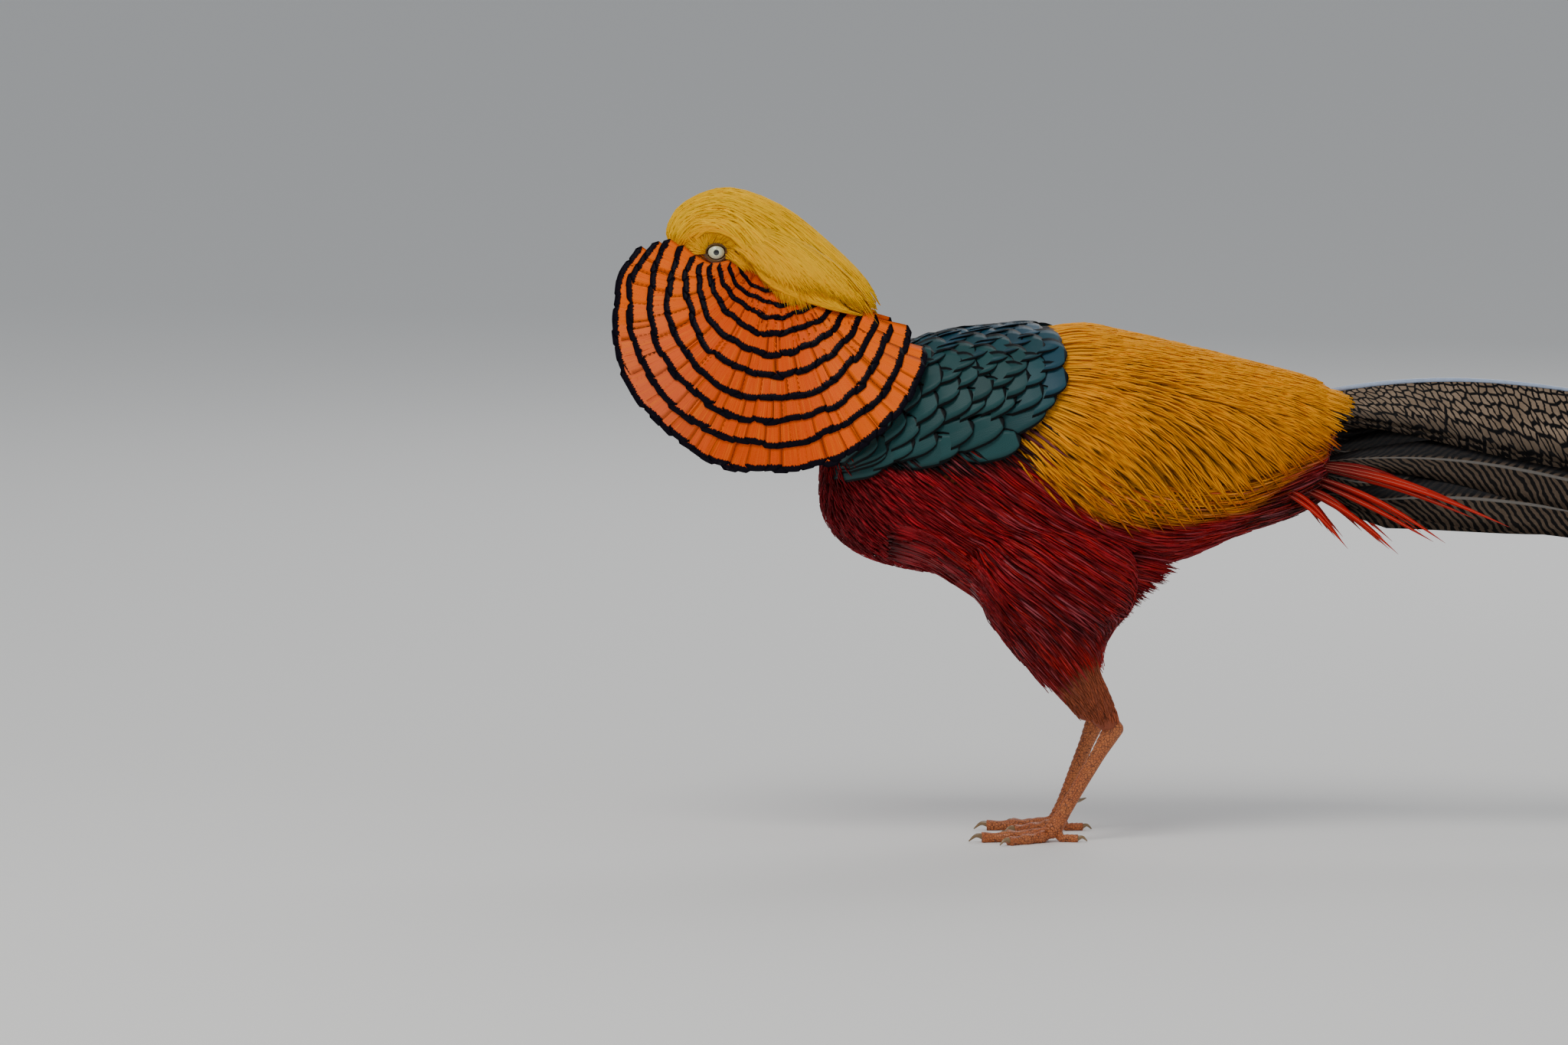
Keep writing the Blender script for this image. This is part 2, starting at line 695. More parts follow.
def barb_group():
    """Barbs: fine strands that slant from the shaft to the edges, and the shaft itself."""
    group = bpy.data.node_groups.new("Barbs", "ShaderNodeTree")
    for name in ("Strands", "Slant", "Unevenness"):
        group.interface.new_socket(name, in_out="INPUT", socket_type="NodeSocketFloat")
    group.interface.new_socket("Place", in_out="INPUT", socket_type="NodeSocketVector")
    for name in ("Strand", "Shaft"):
        group.interface.new_socket(name, in_out="OUTPUT", socket_type="NodeSocketFloat")
    strands = node(group, "NodeGroupInput", (), "Strands")
    across, along, vary = strands.other("Place").parts()
    off = across.maths("ABSOLUTE")
    slid = along - off * strands.other("Slant")
    uneven = noise(vector(group, off * 2.0, slid, vary * 50.0), 6.0)
    moved = slid + uneven * (strands.other("Unevenness") * 0.1)
    wave = (moved * strands * (2 * math.pi)).maths("SINE")
    out = group.nodes.new("NodeGroupOutput")
    group.links.new((wave * 0.5 + 0.5).socket, out.inputs["Strand"])
    group.links.new(off.ramp(0.07, 0.03).socket, out.inputs["Shaft"])
    return group


BARBS = barb_group()


def new_material(name, roughness, **more):
    """A new material and its nodes. More numbers of its shader are given by name."""
    material = bpy.data.materials.new(name)
    material.use_nodes = True
    inputs = material.node_tree.nodes["Principled BSDF"].inputs
    inputs["Roughness"].default_value = roughness
    for key, value in more.items():
        inputs[key.replace("_", " ")].default_value = value
    return material, material.node_tree


def coloured(material, colour, height=None, strength=0.0, depth=0.0):
    """Gives a material its colour, and a relief of a depth in metres."""
    tree = material.node_tree
    shader = tree.nodes["Principled BSDF"]
    tree.links.new(colour.socket, shader.inputs["Base Color"])
    if height is not None:
        values = {"Strength": strength, "Distance": depth, "Height": height}
        tree.links.new(node(tree, "ShaderNodeBump", values).socket, shader.inputs["Normal"])
    return material


def plumage(name, roughness, strands, slant, uneven, bump, depth=0.0004, shine=0.2, dark=0.2,
            shaft=None, pattern=None):
    """A feather material. Its colour is the coat's tint, changed by pattern(base, across, along, vary).
    strands, slant and uneven are the barbs', and dark is how much the gaps between them darken it."""
    material, tree = new_material(name, roughness, Specular_IOR_Level=shine)
    base = attribute(tree, "tint", "Color")
    place = attribute(tree, "vane", "Vector")
    values = {"Place": place, "Strands": strands, "Slant": slant, "Unevenness": uneven}
    strand = node(tree, "ShaderNodeGroup", values, "Strand", node_tree=BARBS)
    if pattern:
        base = pattern(base, *place.parts())
    if shaft:
        base = blended(strand.other("Shaft"), base, linear(shaft))
    base = blended(strand * dark, base, (0.35, 0.3, 0.3), "MULTIPLY")
    return coloured(material, base, strand, bump, depth)


def horn_material(name, dark, pale, roughness=0.32):
    """Horn with fine growth lines and cloudy colour."""
    material, tree = new_material(name, roughness, Coat_Weight=0.25)
    place = object_place(tree)
    colour = blended(noise(place, 160.0, 4.0), linear(dark), linear(pale))
    return coloured(material, colour, noise(place, 700.0, 2.0), 0.25, 0.0002)


# Skin piece


def make_skin():
    material, tree = new_material("Down_and_skin", 0.8)
    down = noise(object_place(tree), 900.0, 4.0)
    shade = blended(down, (0.15, 0.1, 0.1), (0.9, 0.85, 0.8))
    colour = blended(0.8, attribute(tree, "tint", "Color"), shade, "MULTIPLY")
    mesh = BODY.copy()
    paint(mesh, body_tint(BODY_POINTS))
    flesh = ["torso", "head", "neck", "thigh_left", "thigh_right"]
    finished("skin", mesh, coloured(material, colour, down, 0.6, 0.0008), flesh)


# Rump: long fine golden plumes that radiate from the back of the mantle

RUMP_SOURCE = np.array([-78.0, 0.0, 303.0])
NEAR_LOCKS = 84  # locks of plumes, for each radian round the source
FAR_LOCKS = 182


def rump_way(p):
    """Radiating from the mantle, more steeply low on the side, and drawn together into locks."""
    away = p - RUMP_SOURCE
    away[..., 1] = 0
    far = np.linalg.norm(away, axis=-1)
    turn = np.arctan2(-away[..., 2], away[..., 0])
    droop = 0.44 * smooth(torso_top(p[..., 0]) - p[..., 2], 10, 55) * smooth(p[..., 0], 0, 90)
    line = turn - np.tan(droop) * np.log(np.maximum(far, 1) / 170)
    near_pull = np.sin(line * NEAR_LOCKS + 2 * np.sin(far / 13))
    far_pull = np.sin(line * FAR_LOCKS + 2 * np.sin(far / 15))
    pull = -0.15 * mix(near_pull, far_pull, smooth(far, 80, 115)) * smooth(far, 70, 110)
    ahead = angled(np.degrees(turn + droop))
    return ahead + pull[..., None] * ahead[..., [2, 1, 0]] * [-1, 0, 1]


def make_rump():
    def weight(p):
        tip = p + rump_way(p) * 24
        ragged = 4 * np.sin(p[:, 0] * 0.9) * np.sin(p[:, 2] * 0.7 + p[:, 0] * 0.3)
        tip[:, 2] += ragged
        end = mix(168, 177, smooth(p[:, 2], 255, 268)) + ragged * 0.8
        return in_gold(tip, 1) * (1 - in_mantle(p + [12, 0, 0])) * (tip[:, 0] < end)

    material = plumage("Golden_rump_plumes", 0.44, 9, 0.25, 0.8, 0.25, shine=0.12, dark=0.15)
    t = np.linspace(0, 1, 5)[None, :, None]
    for word, higher in (("under", 0), ("over", 0.8)):
        count = 6800
        roots = scattered(count, weight)
        low = smooth(torso_top(roots[:, 0]) - roots[:, 2], 8, 55)
        back = smooth(roots[:, 0], 20, 150)
        length = chance.uniform(27, 36, count) * mix(1.0, 0.85, back)
        tip = chance.uniform(1.6, 3.4, count) + 1.2 * np.maximum(low, back) + higher
        path, up = laid(roots, rump_way, length, 5, -0.8, tip, 0.01)
        path = mix(path, straight(path, length), smooth(roots[:, 0], 128, 150)[:, None, None])
        half = np.outer(mix(1.1, 0.9, low) * chance.uniform(0.7, 1.2, count), pointed(5))
        fresh = varied(gold_tint(roots), count)
        gap = 0.9 * smooth(0.6 * chance.random(count) + 0.45 * low + 0.4 * back, 0.45, 1.05)
        shade = mix(fresh, GOLD_SHADE, gap[:, None])
        tint = mix(shade[:, None], mix(fresh, GOLD, 0.4)[:, None], smooth(t, 0.1, 0.7))
        red = (1 - smooth(path[:, :, 2] - gold_edge(path[:, :, 0]), -4, 8))[..., None] * smooth(t, 0.5, 1)
        tint = mix(tint, mix(CRIMSON, SCARLET, 0.4), red * 0.85)
        made = batch(path, up, half, 0.5, tint, coat_uv(roots), roll=rolled(count))
        joined("rump_plumes_" + word, [made], material)


# Breast, belly, flanks and thighs: hair-like crimson plumes


def red_way(p):
    x, z = p[..., 0], p[..., 2]
    fall = mix(34, 24, smooth(x, 0, 50) * smooth(z, 150, 175))
    fall = mix(fall, 6, smooth(x, 45, 90) * smooth(z, 140, 160))
    fall = mix(fall, -14, smooth(x, 90, 130))
    fall = mix(fall, 50, smooth(-z, -150, -110) * smooth(x, -40, 10))
    return angled(fall) + 0.05 * np.sin(p[..., [1, 2, 0]] * 0.23)


def streaked_red(roots, count):
    """Crimson strands, darker at their roots and in the gaps between locks, and some pinkish ones."""
    x, y, z = np.moveaxis(roots, -1, 0)
    locks = np.sin(0.62 * z + 0.5 * x + 1.5 * np.sin(0.07 * x - 0.05 * y)) * np.sin(0.19 * z + 0.11 * x + 2)
    fresh = varied(body_tint(roots), count, 0.2) * (1.0 + 0.45 * locks)[:, None]
    pale = (chance.random(count) < 0.13) * smooth(x, -110, -70)
    fresh = mix(fresh, PINK, (0.55 * pale * chance.random(count))[:, None])
    bright = chance.random(count) ** 3 * smooth(x, -110, -50)
    fresh = mix(fresh, SCARLET, 0.6 * bright[:, None])
    t = np.linspace(0, 1, 5)[None, :, None]
    return fresh[:, None] * mix(0.22, 1.0, smooth(t, 0.0, 0.55)), pale


def make_flanks():
    def weight(p):
        keep = (1 - in_gold(p - [16, 0, 18], 3)) * (1 - in_mantle(p + [0, 0, -10]))
        keep *= (p[:, 2] > 148) * (p[:, 2] < 262) * (p[:, 0] < 158)
        return keep * (p[:, 0] > -142) * np.where(p[:, 0] < -112, p[:, 2] < 236, True)

    count = 7600
    roots = scattered(count, weight)
    front = 1 - smooth(roots[:, 0], -120, -50)
    tint, pale = streaked_red(roots, count)
    length = mix(chance.uniform(27, 36, count), 14, front) * (1 + 0.2 * pale)
    tip = 2.2 + 1.6 * chance.random(count) + 0.8 * pale
    path, up = laid(roots, red_way, length, 5, -0.5, tip, 0.006)
    half = np.outer(chance.uniform(0.8, 1.2, count) * mix(1.0, 1.2, front), pointed(5))
    made = batch(path, up, half, 0.5, tint, coat_uv(roots), roll=rolled(count))
    material = plumage("Crimson_underparts", 0.42, 8, 0.25, 0.8, 0.25)
    joined("breast_and_flank_plumes", [made], material)


def thigh_way(p):
    x, z = p[..., 0], p[..., 2]
    fall = mix(30, 58, smooth(-z, -165, -110))
    return angled(mix(fall, 80, smooth(x, 15, 45) * smooth(-z, -150, -120)))


# Front and rear outlines of the thigh's coat, seen from the side
thigh_front = profile((-104, 167), (-88, 165), (-74, 161), (-61, 153.5), (-45, 143), (-34, 131), (-22, 117))
thigh_rear = curve((74, 0, 165), (60, 0, 152), (47, 0, 139), (35, 0, 128), (28, 0, 114))


def front_fringe(side, t, count=1000):
    """Paths of plumes from the belly down the front of a thigh."""
    start = chance.uniform(-100, -50, count)
    above = 24 * chance.random(count) ** 1.3
    long = chance.uniform(22, 32, count)
    x = start[:, None] + long[:, None] * 0.8 * t
    z = thigh_front(x) + 1.5 + above[:, None] + 2 * (1 - t)
    rim = (mix(20, 38, smooth(above, 0, 12)) + chance.uniform(-4, 4, count))[:, None]
    flank = np.maximum(torso_side(x, z), thigh_side(x, z)) - mix(1.5, -1.5, t)
    return np.stack([x, side * np.maximum(rim, flank), z], -1)


def rear_fringe(side, t, count=500):
    """Paths of plumes that end along the rear of a thigh."""
    share = chance.random(count)
    end = thigh_rear(share) + chance.normal(0, 1.0, (count, 3))
    fall = np.radians(mix(10, 62, share) + 6 * chance.standard_normal(count))
    back = chance.uniform(24, 34, count)[:, None] * (1 - t)
    inner = chance.uniform(0, 10, count)[:, None]
    x = end[:, :1] - back * np.cos(fall)[:, None]
    z = end[:, 2:] + back * np.sin(fall)[:, None] + inner * 0.6
    y = mix(52, 40, smooth(x, 10, 62)) - inner * 0.8 - 3 * share[:, None]
    return np.stack([x, side * y, z], -1)


def fringe_batches():
    batches = []
    t = np.linspace(0, 1, 5)
    for side in (LEFT, RIGHT):
        for path in (front_fringe(side, t), rear_fringe(side, t)):
            count = len(path)
            up = np.broadcast_to(unit(np.array([0, side, -0.25])), path.shape)
            half = np.outer(chance.uniform(0.8, 1.2, count), pointed(5))
            tint, _ = streaked_red(path[:, 1], count)
            roll = rolled(count)
            batches.append(batch(path, up, half, 0.5, tint, coat_uv(path[:, 0]), roll=roll))
    return batches


def make_thighs():
    count = 5200
    roots = scattered(count, lambda p: (p[:, 2] < 152) * smooth(p[:, 2], 72, 80))
    x, z = roots[:, 0], roots[:, 2]
    low = 1 - smooth(z - RED_SLOPE * x, 113, 119)
    shade, pale = streaked_red(roots, count)
    length = mix(chance.uniform(22, 30, count) * (1 + 0.2 * pale), 7, low)
    tip = mix(1.8 + 1.6 * chance.random(count) + 0.8 * pale, 0.6, low)
    path, up = laid(roots, thigh_way, length, 5, -0.4, tip, 0.012)
    half = np.outer(chance.uniform(0.8, 1.2, count) * mix(1, 0.7, low), pointed(5))
    t = np.linspace(0, 1, 5)[None, :, None]
    bright = (smooth(x, -10, 25) * smooth(-z, -140, -118) * (1 - low))[:, None, None]
    tint = mix(shade, SCARLET, 0.8 * bright * smooth(t, 0.4, 1.0))
    rusty = varied(LEG_BROWN, count, 0.2)[:, None] * mix(0.5, 1.0, t)
    tint = mix(tint, rusty, low[:, None, None])
    made = batch(path, up, half, 0.5, tint, coat_uv(roots), roll=rolled(count))
    material = plumage("Crimson_thighs", 0.42, 8, 0.25, 0.8, 0.25)
    joined("thigh_plumes", [made], material)
    joined("thigh_fringes", fringe_batches(), material)


# Mantle: rounded dark green scales edged with black, in rows like roof tiles

MANTLE_ROWS = 13
ROW_STEP = 10.6
MANTLE_FRONT = -124
LOWEST_ANGLE = 78.5
# Where the last row ends, by the angle from the top of the back
mantle_rear = profile(
    (0, -14), (10, -11.5), (22, -1), (34, 5.5), (50, 8), (60, 4.5), (68, -5), (73, -12), (77, -28),
    (78.5, -60), (81, -104),
)
mantle_fall = profile((226, -4), (238, -11), (254, -26), (266, -20), (288, -3), (311, 0))


def scale_pattern(base, across, along, vary):
    """A black edge round the end of each scale."""
    rim = across.maths("ABSOLUTE").ramp(0.82, 0.88)
    return blended(rim.maths("MAXIMUM", along.ramp(0.925, 0.95)), base, TEAL_BLACK)


def mantle_way(p):
    return angled(mantle_fall(p[..., 2]))


def make_mantle():
    batches = []
    t = np.linspace(0, 1, 14)
    for row, side in ((row, side) for row in range(MANTLE_ROWS) for side in (LEFT, RIGHT)):
        angles = np.arange(2 + 6.5 * (row % 2), 62, 13.0)
        if row % 2 == 0:
            angles = np.concatenate([angles, np.arange(64 + row % 4, 79, 6.0)])
        low = smooth(angles, 59, 65)
        angles = np.minimum(angles + chance.normal(0, 0.8, len(angles)), LOWEST_ANGLE)
        ends = mantle_rear(angles) - ROW_STEP * row + chance.normal(0, 1.0, len(angles))
        seen = ends > MANTLE_FRONT
        tips, low, angles = torso_at(ends, -angles * side, -COAT)[seen], low[seen], angles[seen]
        count = len(tips)
        if not count:
            continue
        long = mix(chance.uniform(29, 33, count), 40, low)
        roots = tips - mantle_way(tips) * (long * 0.97)[:, None]
        path, up = laid(roots, mantle_way, long, len(t), 0.6, mix(2.6, 3.8, smooth(angles, 10, 45)))
        half = np.outer(mix(chance.uniform(12.4, 13.8, count), 9.5, low), rounded(t, 0.55, 0.4))
        blue = np.maximum(smooth(roots[:, 2], 290, 306), smooth(roots[:, 0], -50, -5))[:, None]
        tint = varied(mix(TEAL, TEAL_BLUE, 0.8 * blue), count, 0.1)
        roll = side * mix(0.03, 0.12, 1 - smooth(tips[:, 2], 235, 290))
        batches.append(batch(path, up, half, 0.2, tint, coat_uv(roots), BLADE, roll=roll))
    material = plumage("Green_mantle", 0.4, 34, 0.35, 0.4, 0.2, 0.0003, dark=0.25, pattern=scale_pattern)
    joined("mantle_scales", batches, material)


# Ruff: square orange feathers with a black bar at each end, in tiers that fan from the cheek. Angles are
# from straight back through straight down, round the middle.

RUFF_X = -163
RUFF_Z = 322
RUFF_RADIUS = 100
RUFF_TIERS = (100, 90.5, 82.1, 74.4, 66.2, 58.6, 51.4, 45.4, 40.6, 36.3)
ruff_rim = profile(
    (0, 16), (12, 24), (17, 33), (25, 46), (35, 54), (60, 60), (90, 55), (120, 43), (150, 32),
    (180, 21), (205, 13),
)
ruff_bulge = profile((0, 2), (20, 6), (60, 12), (100, 21), (140, 24), (175, 17), (205, 7))
# First and last angle of each tier, by its radius
ruff_first = profile((36, 54), (51, 41), (58, 33), (66, 26), (74, 22), (82, 19), (90, 14), (100, 16))
ruff_last = profile(
    (36, 150), (41, 156), (45, 162), (51, 170), (59, 179), (66, 189), (74, 199), (82, 203.5), (100, 203)
)
# Each tier is nearly a circle. This is its share of one by the angle, for the outer tiers and the inner
outer_reach = profile(
    (14, 0.91), (27, 0.93), (41, 0.945), (60, 0.95), (90, 0.975), (112, 1), (129, 1.015), (145, 1.03),
    (165, 1.03), (180, 1.015), (190, 1.0), (201, 0.935),
)
inner_reach = profile(
    (28, 0.87), (48, 0.92), (70, 0.95), (100, 0.96), (125, 0.95), (140, 0.92), (155, 0.88),
    (170, 0.85), (182, 0.79), (192, 0.76),
)


def ruff_out(x, z, folded):
    """How far the ruff stands from the middle plane at a place seen from the side."""
    dx, dz = x - RUFF_X, RUFF_Z - z
    a = np.degrees(np.arctan2(dz, dx))
    a = np.clip(np.where(a < -90, a + 360, a), 0, 205)
    r = np.clip(np.hypot(dx, dz) / RUFF_RADIUS, 0, 1.05)
    bow = np.sin(np.pi * np.clip(r, 0, 1) ** 0.85)
    fan = mix(8, ruff_rim(a), r) + ruff_bulge(a) * (0.3 if folded else 1) * bow
    least = neck_side(x, z) - 0.5
    return np.log(np.exp(fan / 3) + np.exp(least / 3)) * 3


def ruff_pattern(base, across, along, vary):
    """A black bar at the end of each feather, with a ragged inner edge, and fine streaks."""
    ragged = noise(vector(base.tree, across * 5.0, along, vary * 90.0), 2.0, 4.0)
    bar = (along + (ragged - 0.5) * 0.09).ramp(0.888, 0.903)
    streaks = noise(vector(base.tree, across * 14.0, along * 1.5, vary * 70.0), 1.0)
    streaked = blended(streaks.ramp(0.5, 0.8), base, (1.0, 0.22, 0.01))
    shaded = blended(streaks.ramp(0.42, 0.2), streaked, (0.55, 0.05, 0.0))
    return blended(bar, shaded, RUFF_BLACK)


def ruff_batches(side, folded):
    t = np.linspace(0, 1, 14)
    w = (1 - t)[None, :, None]
    across, height = BLADE.T
    batches = []
    for radius in RUFF_TIERS[2 if folded else 0 :]:
        step = RUFF_RADIUS - radius
        wide, space = (7.4, 7.6) if radius > 60 else (6.0, 6.0)
        margin = math.degrees(0.85 * wide / radius)
        first, last = float(ruff_first(radius)) + margin, float(ruff_last(radius)) - margin
        if folded:
            last = 78 + 0.15 * (90 - radius)
        gap = math.degrees(space / radius)
        angles = np.linspace(first, last, round((last - first) / gap) + 1)
        count = len(angles)
        angles[1:-1] += 0.15 * gap * chance.standard_normal(count - 2)
        spread = np.degrees(wide / radius) * chance.uniform(0.92, 1.08, count)
        a = angles[:, None, None] + spread[:, None, None] * squared(t, 0.85)[None, :, None] * across * side
        a = a - mix(17, 5, smooth(radius, 70, 85)) * w * smooth(a, 158, 192)
        full = radius * mix(outer_reach(a), inner_reach(a), smooth(step, 5, 40))
        full = full * (1 + 0.007 * chance.standard_normal((count, 1, 1)))
        full = full + 0.7 * np.sin(a * 0.13 + radius) + 0.4 * np.sin(a * 0.41 + 3 * radius)
        reach = full - min(36, 0.62 * radius) * w
        x = RUFF_X - 3 * math.sin(math.pi * step / 64) + reach * np.cos(np.radians(a))
        z = RUFF_Z + 0.66 * step - reach * np.sin(np.radians(a))
        lift = mix(1.5, -1.0, w) + 0.012 * across + 0.05 * height
        lift = lift + 0.015 * chance.standard_normal((count, 1, 1))
        points = np.stack([x, side * (ruff_out(x, z, folded) + lift), z], -1)
        sheen = smooth(angles, 110, 150) * (1 - smooth(angles, 165, 180)) * smooth(radius, 70, 95)
        deep = smooth(angles, 40, 80) * (1 - smooth(angles, 140, 175))
        colour = mix(mix(ORANGE, DEEP_ORANGE, deep[:, None]), ROSE, 0.5 * sheen[:, None])
        v = np.full(count, 0.04 + 0.4 * (side > 0) + 0.48 * radius / RUFF_RADIUS)
        uv = np.stack([0.06 + 0.9 * angles / 210, v], -1)
        batches.append(dressed(points, BLADE, varied(colour, count, 0.035), uv))
    return batches


def nape_batches():
    """Ruff feathers over the back of the neck, between the crest's tip and the mantle."""
    t = np.linspace(0, 1, 12)
    batches = []
    for row, end in enumerate((-84, -93, -102, -111, -120)):
        a = np.radians(np.arange(-66 + 6 * (row % 2), 67, 12.0))
        count = len(a)
        roots = np.stack([np.full(count, end - 24.0), -34 * np.sin(a), 292 + 18 * np.cos(a)], -1)
        path, up = laid(roots, lambda p: angled(np.full(p.shape[:-1], -6.0)), 30.0, len(t), 1.0, 4.0)
        half = np.outer(chance.uniform(5.8, 6.8, count), squared(t, 0.5))
        batches.append(batch(path, up, half, 0.3, varied(ORANGE, count), coat_uv(roots), BLADE, 0.08))
    return batches


def make_ruff():
    material = plumage(
        "Orange_ruff", 0.42, 30, 0.12, 0.3, 0.25, 0.0003, shine=0.08, dark=0.06, pattern=ruff_pattern
    )
    joined("ruff_fanned", ruff_batches(LEFT, False), material)
    joined("ruff_folded", ruff_batches(RIGHT, True) + nape_batches(), material)


# Crest: long silky yellow plumes over an arched form, in layers that lie deeper towards its tip

CREST_LAYERS = (
    # depth, number, first and last root along the crest
    (0, 2100, 0.0, 0.66), (-3.2, 600, 0.35, 0.72), (-6.5, 500, 0.5, 0.78), (-10, 400, 0.6, 0.8),
)
crest_reach = profile((0, 0.95), (0.2, 0.95), (0.3, 0.88), (0.42, 0.86), (0.5, 0.97), (0.58, 1.06), (1, 1.06))


def make_crest():
    batches = []
    t = np.linspace(0, 1, 7)
    for drop, count, first, last in CREST_LAYERS:
        u0 = mix(first, last, np.sort(chance.random(count)) ** 0.9)
        v0 = chance.uniform(-1.02, 1.02, count)
        aside = np.abs(v0)
        long = chance.uniform(0.22, 0.36, count)
        end = np.minimum(u0 + long, 1 - 0.1 * aside - 0.03 * chance.random(count))
        u = u0[:, None] + (end - u0)[:, None] * t
        fan = 0.62 * smooth(aside, 0.08, 0.8) * smooth(u0, 0.08, 0.3) * np.sign(v0)
        drift = fan + 0.03 * chance.standard_normal(count)
        v = v0[:, None] + drift[:, None] * t**1.3 + 0.012 * np.sin(14 * u + 5 * v0[:, None])
        most = crest_reach(u) - 0.05 * chance.random(count)[:, None]
        v = np.clip(v, -most, most)
        out = facing(crest_at, u, v)
        height = mix(-2.6, 0.6, smooth(t, 0, 0.45)) + drop + 0.9 * chance.random(count)[:, None]
        path = crest_at(u, v) + out * height[..., None]
        half = np.outer(chance.uniform(0.8, 1.35, count), pointed(7, 0.5, 3.2))
        tint = varied(mix(YELLOW, AMBER, 0.6 * smooth(aside, 0.45, 1.0)[:, None]), count, 0.09)
        tint = tint[:, None] * mix(0.72, 1.0, smooth(t, 0, 0.35))[None, :, None]
        uv = np.stack([0.05 + 0.9 * u0, 0.5 + 0.44 * v0], -1)
        batches.append(batch(path, out, half, 0.45, tint, uv, roll=rolled(count, 0.35)))
    material = plumage("Golden_crest", 0.45, 7, 0.2, 0.9, 0.2, shine=0.03, dark=0.15)
    joined("crest_plumes", batches, material)


# Cheeks: golden plumes that fan from behind the eye over the top of the ruff, and short ones round the eye

cheek_end = curve(
    (-187, 0, 346), (-173, 0, 339), (-160, 0, 323), (-147, 0, 320),
    (-132, 0, 325), (-118, 0, 320), (-106, 0, 314),
)


def seen_from_side(form, x, z, side):
    """How far out a form stands at places seen from its side, and 0 beyond it."""
    reach = np.zeros(x.shape)
    for spot in np.ndindex(x.shape):
        hit = form.ray_cast(Vector((x[spot], side * 200.0, z[spot])), Vector((0, -side, 0)))[0]
        reach[spot] = 0 if hit is None else max(side * hit.y, 0)
    return reach


def cheek_fan(side, crest, count=1300):
    t = np.linspace(0, 1, 8)
    share = chance.random(count)
    root = mix(np.array([-194.5, 0, 351.5]), np.array([-176, 0, 366]), (share**0.8)[:, None])
    root = root + chance.normal(0, 1.3, (count, 3))
    tip = cheek_end(np.clip(share + 0.04 * chance.standard_normal(count), 0, 1))
    tip = tip + chance.normal(0, 1.6, (count, 3))
    tip = root + (tip - root) * mix(0.45, 1.0, chance.random(count) ** 0.5)[:, None]
    gap = np.linalg.norm(tip - root, axis=1)[:, None]
    fall = mix(26, 10, share) + np.degrees(np.radians(5) * chance.standard_normal(count))
    bend = root + 0.5 * gap * angled(fall)
    w = t[None, :, None]
    line = (1 - w) ** 2 * root[:, None] + 2 * w * (1 - w) * bend[:, None] + w**2 * tip[:, None]
    x, z = line[..., 0], line[..., 2]
    out = np.maximum(ruff_out(x, z, side > 0) + 1.6, head_side(x, z) + 0.6)
    out = np.maximum(out, seen_from_side(crest, x, z, side) + 0.4)
    out = out + mix(0.0, 1.6, smooth(t, 0, 0.6)) * chance.uniform(0.6, 1.3, count)[:, None]
    path = np.stack([x, side * out, z], -1)
    up = np.broadcast_to([0.15, side, 0.25], path.shape)
    half = np.outer(chance.uniform(0.6, 1.05, count), pointed(8, 0.5, 3.0))
    tint = varied(mix(YELLOW, AMBER, 0.5 * (1 - share[:, None])), count, 0.08)
    tint = tint[:, None] * mix(0.7, 1.0, smooth(t, 0, 0.35))[None, :, None]
    uv = np.stack([0.05 + 0.4 * share + 0.5 * (side > 0), 0.1 + 0.8 * chance.random(count)], -1)
    return batch(path, up, half, 0.4, tint, uv, roll=rolled(count))


def brow_feathers(side, crest, count=500):
    t = np.linspace(0, 1, 5)
    turn = np.radians(chance.uniform(-35, 185, count))
    round_ = np.stack([np.cos(turn), 0 * turn, np.sin(turn)], -1)
    root = EYE * [1, 0, 1] + round_ * [6.6, 0, 5.8] * mix(1.0, 1.5, chance.random(count) ** 2)[:, None]
    way = unit(round_ * [1, 0, 0.75] + [0.75, 0, 0.05])
    line = root[:, None] + way[:, None] * (chance.uniform(7, 12, count)[:, None] * t)[..., None]
    x, z = line[..., 0], line[..., 2]
    far = smooth(np.hypot(x - EYE[0], z - EYE[2]), 6, 15)
    edge = np.maximum(seen_from_side(crest, x, z, side), head_side(x, z))
    out = mix(13.4, np.maximum(edge + 0.4, 16.5), far) + chance.uniform(-0.4, 0.5, count)[:, None]
    path = np.stack([x, side * out, z], -1)
    up = np.broadcast_to([0.0, side, 0.1], path.shape)
    half = np.outer(chance.uniform(0.5, 0.8, count), pointed(5, 0.6, 3.0))
    tint = varied(mix(YELLOW, AMBER, 0.35), count, 0.1)
    uv = np.stack([0.45 + 0.04 * np.cos(turn) + 0.5 * (side > 0), 0.5 + 0.1 * np.sin(turn)], -1)
    return batch(path, up, half, 0.35, tint, uv)


def make_cheeks():
    crest = as_mesh(lofted(crest_rings(0.6, 1.0)))
    faces = [tuple(face.vertices) for face in crest.polygons]
    crest = BVHTree.FromPolygons(corners(crest).tolist(), faces)
    batches = [make(side, crest) for make in (cheek_fan, brow_feathers) for side in (LEFT, RIGHT)]
    material = plumage("Golden_cheek", 0.38, 7, 0.2, 0.9, 0.2, shine=0.1, dark=0.15)
    joined("cheek_plumes", batches, material)


